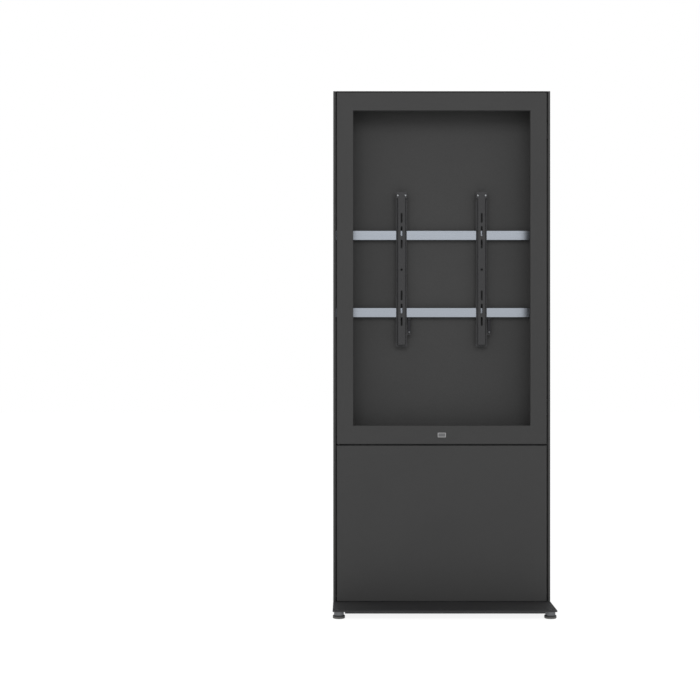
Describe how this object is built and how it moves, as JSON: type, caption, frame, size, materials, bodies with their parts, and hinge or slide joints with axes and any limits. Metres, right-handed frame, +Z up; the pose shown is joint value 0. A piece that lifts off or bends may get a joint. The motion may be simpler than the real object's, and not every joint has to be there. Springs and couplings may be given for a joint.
{
  "type": "display kiosk enclosure",
  "caption": "Free-standing portrait kiosk cabinet on a footed base plate, with a window frame, rails with slotted mount arms for a screen, and a lockable rear hatch.",
  "frame": {"origin": "on the floor, under the middle of the base plate", "axes": "+Z up, -Y towards the viewer of the screen, +X to that viewer's right"},
  "size_m": [0.828, 0.444, 1.978],
  "materials": {
    "dark_powder_coat": "fine-textured matt powder coat on sheet steel",
    "black_powder_coat": "satin powder coat on pressed steel",
    "mill_aluminium": "extruded, satin",
    "zinc_steel": "zinc plated, satin",
    "bright_lock": "nickel plated, bright",
    "satin_badge": "satin, bare",
    "foot_rubber": "moulded, matt"
  },
  "bodies": {
    "cabinet": {"base_plate": "dark_powder_coat", "foot_beam": "dark_powder_coat", "foot_boss_front_left": "zinc_steel", "foot_boss_front_right": "zinc_steel", "foot_boss_middle_left": "zinc_steel", "foot_boss_middle_right": "zinc_steel", "foot_boss_rear_left": "zinc_steel", "foot_boss_rear_right": "zinc_steel", "side_panel_left": "dark_powder_coat", "side_panel_right": "dark_powder_coat", "top_panel": "dark_powder_coat", "back_panel": "dark_powder_coat", "lower_front_panel": "dark_powder_coat", "front_crossbar": "black_powder_coat", "rear_crossbar": "black_powder_coat", "rail_upper": "mill_aluminium", "rail_lower": "mill_aluminium", "rail_bracket_upper_left": "black_powder_coat", "rail_bracket_upper_right": "black_powder_coat", "rail_bracket_lower_left": "black_powder_coat", "rail_bracket_lower_right": "black_powder_coat", "frame_pivot_upper": "zinc_steel", "frame_pivot_lower": "zinc_steel", "magnetic_catch_lower": "zinc_steel", "magnetic_catch_upper": "zinc_steel", "hatch_pivot_left": "zinc_steel", "hatch_pivot_right": "zinc_steel"},
    "window_frame": {"front_frame": "dark_powder_coat", "badge": "satin_badge", "catch_keeper_lower": "zinc_steel", "catch_keeper_upper": "zinc_steel"},
    "hatch": {"rear_hatch": "dark_powder_coat", "lock_housing": "bright_lock", "lock_nut": "zinc_steel"},
    "lock": {"lock_plug": "bright_lock", "lock_cam": "zinc_steel", "lock_cam_screw": "zinc_steel"},
    "arm_left": {"mount_arm_left": "black_powder_coat", "arm_screw_left_a": "zinc_steel", "arm_screw_left_b": "zinc_steel", "latch_screw_left": "zinc_steel"},
    "arm_right": {"mount_arm_right": "black_powder_coat", "arm_screw_right_a": "zinc_steel", "arm_screw_right_b": "zinc_steel", "latch_screw_right": "zinc_steel"},
    "latch_left": {"arm_latch_left": "black_powder_coat"},
    "latch_right": {"arm_latch_right": "black_powder_coat"},
    "foot_front_left": {"foot_stud_front_left": "zinc_steel", "foot_pad_front_left": "foot_rubber"},
    "foot_front_right": {"foot_stud_front_right": "zinc_steel", "foot_pad_front_right": "foot_rubber"},
    "foot_middle_left": {"foot_stud_middle_left": "zinc_steel", "foot_pad_middle_left": "foot_rubber"},
    "foot_middle_right": {"foot_stud_middle_right": "zinc_steel", "foot_pad_middle_right": "foot_rubber"},
    "foot_rear_left": {"foot_stud_rear_left": "zinc_steel", "foot_pad_rear_left": "foot_rubber"},
    "foot_rear_right": {"foot_stud_rear_right": "zinc_steel", "foot_pad_rear_right": "foot_rubber"}
  },
  "joints": [
    {"name": "window_frame_swing", "type": "hinge", "parent": "cabinet", "child": "window_frame", "pos_m": [-0.3934, -0.048, 0], "axis": [0, 0, -1], "range_deg": [0, 100]},
    {"name": "hatch_tilt", "type": "hinge", "parent": "cabinet", "child": "hatch", "pos_m": [0, 0.041, 0.0428], "axis": [-1, 0, 0], "range_deg": [0, 90]},
    {"name": "lock_turn", "type": "hinge", "parent": "hatch", "child": "lock", "pos_m": [0, 0, 0.608], "axis": [0, -1, 0], "range_deg": [0, 90]},
    {"name": "arm_left_slide", "type": "slide", "parent": "cabinet", "child": "arm_left", "axis": [1, 0, 0], "range_m": [-0.15, 0.05]},
    {"name": "arm_right_slide", "type": "slide", "parent": "cabinet", "child": "arm_right", "axis": [1, 0, 0], "range_m": [-0.05, 0.15]},
    {"name": "latch_left_turn", "type": "hinge", "parent": "arm_left", "child": "latch_left", "pos_m": [-0.1205, 0, 1.0595], "axis": [0, 1, 0], "range_deg": [0, 90]},
    {"name": "latch_right_turn", "type": "hinge", "parent": "arm_right", "child": "latch_right", "pos_m": [0.1895, 0, 1.0595], "axis": [0, 1, 0], "range_deg": [0, 90]},
    {"name": "foot_front_left_height", "type": "slide", "parent": "cabinet", "child": "foot_front_left", "axis": [0, 0, -1], "range_m": [0, 0.01]},
    {"name": "foot_front_right_height", "type": "slide", "parent": "cabinet", "child": "foot_front_right", "axis": [0, 0, -1], "range_m": [0, 0.01]},
    {"name": "foot_middle_left_height", "type": "slide", "parent": "cabinet", "child": "foot_middle_left", "axis": [0, 0, -1], "range_m": [0, 0.01]},
    {"name": "foot_middle_right_height", "type": "slide", "parent": "cabinet", "child": "foot_middle_right", "axis": [0, 0, -1], "range_m": [0, 0.01]},
    {"name": "foot_rear_left_height", "type": "slide", "parent": "cabinet", "child": "foot_rear_left", "axis": [0, 0, -1], "range_m": [0, 0.01]},
    {"name": "foot_rear_right_height", "type": "slide", "parent": "cabinet", "child": "foot_rear_right", "axis": [0, 0, -1], "range_m": [0, 0.01]}
  ]
}
